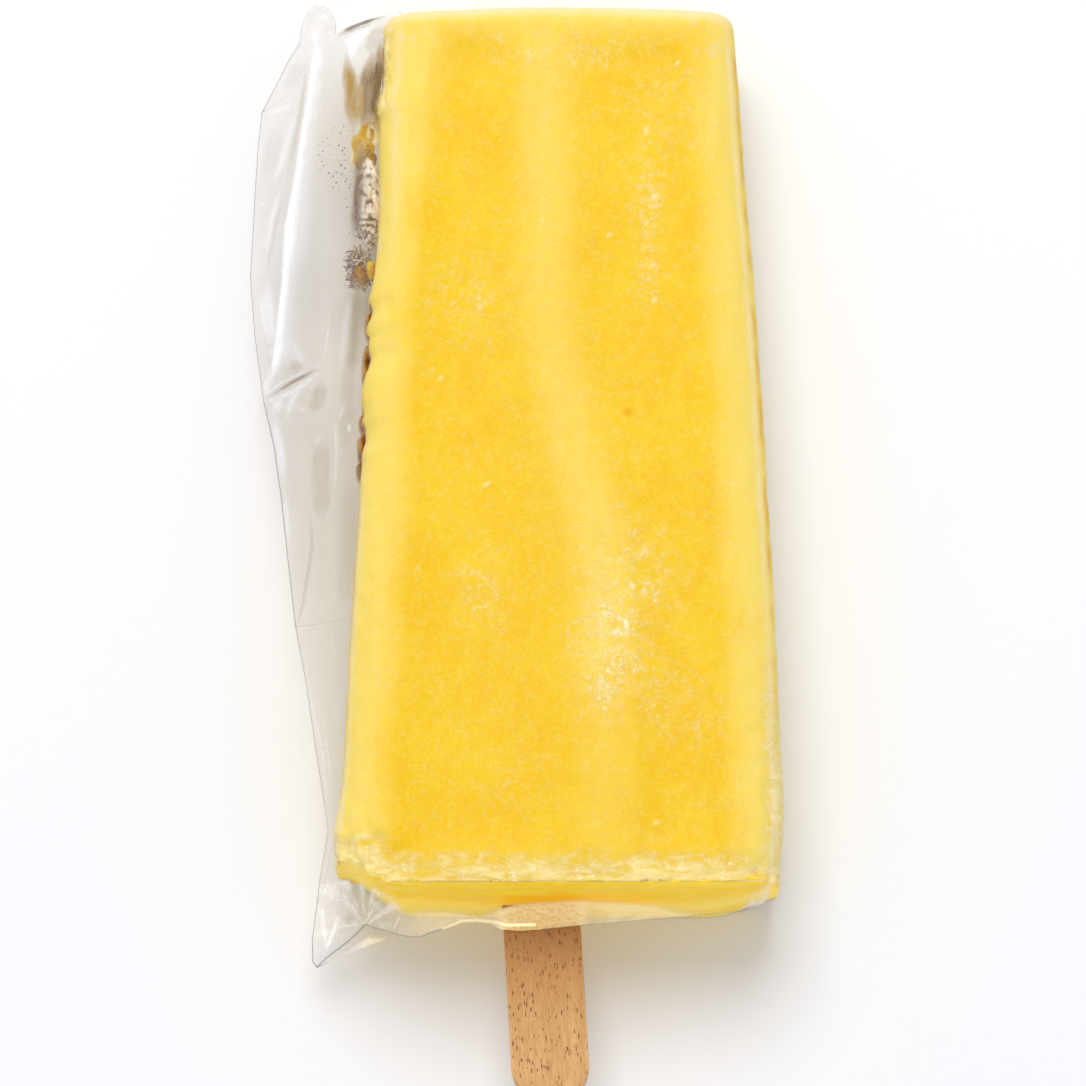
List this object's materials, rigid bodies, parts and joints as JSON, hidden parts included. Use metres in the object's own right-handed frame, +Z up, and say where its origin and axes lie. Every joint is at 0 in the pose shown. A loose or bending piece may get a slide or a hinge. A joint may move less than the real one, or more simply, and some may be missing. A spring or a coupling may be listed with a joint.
{
  "type": "ice lolly",
  "caption": "Moulded bar of yellow fruit ice on a flat wooden stick, in a clear film sleeve that hangs slack along one side.",
  "frame": {"origin": "middle of the flat rib on the bar's back, on the surface that the lolly lies on", "axes": "+X across the bar, +Y along it towards its tip, +Z up out of its front face"},
  "size_m": [0.0704, 0.152, 0.025],
  "materials": {
    "fruit_ice": "frozen fruit ice, satin, paler on its rib and shoulders",
    "beech": "bare sanded beech",
    "film": "thin clear film, creased",
    "pulp": "wet frozen fruit pulp",
    "frost": "rough white frost, dirty in its gaps"
  },
  "bodies": {
    "root": {"ice_block": "fruit_ice", "stick": "beech", "film_sleeve": "film", "pulp_chunk": "pulp", "frost_lump": "frost", "frost_crystals": "frost"}
  },
  "joints": []
}
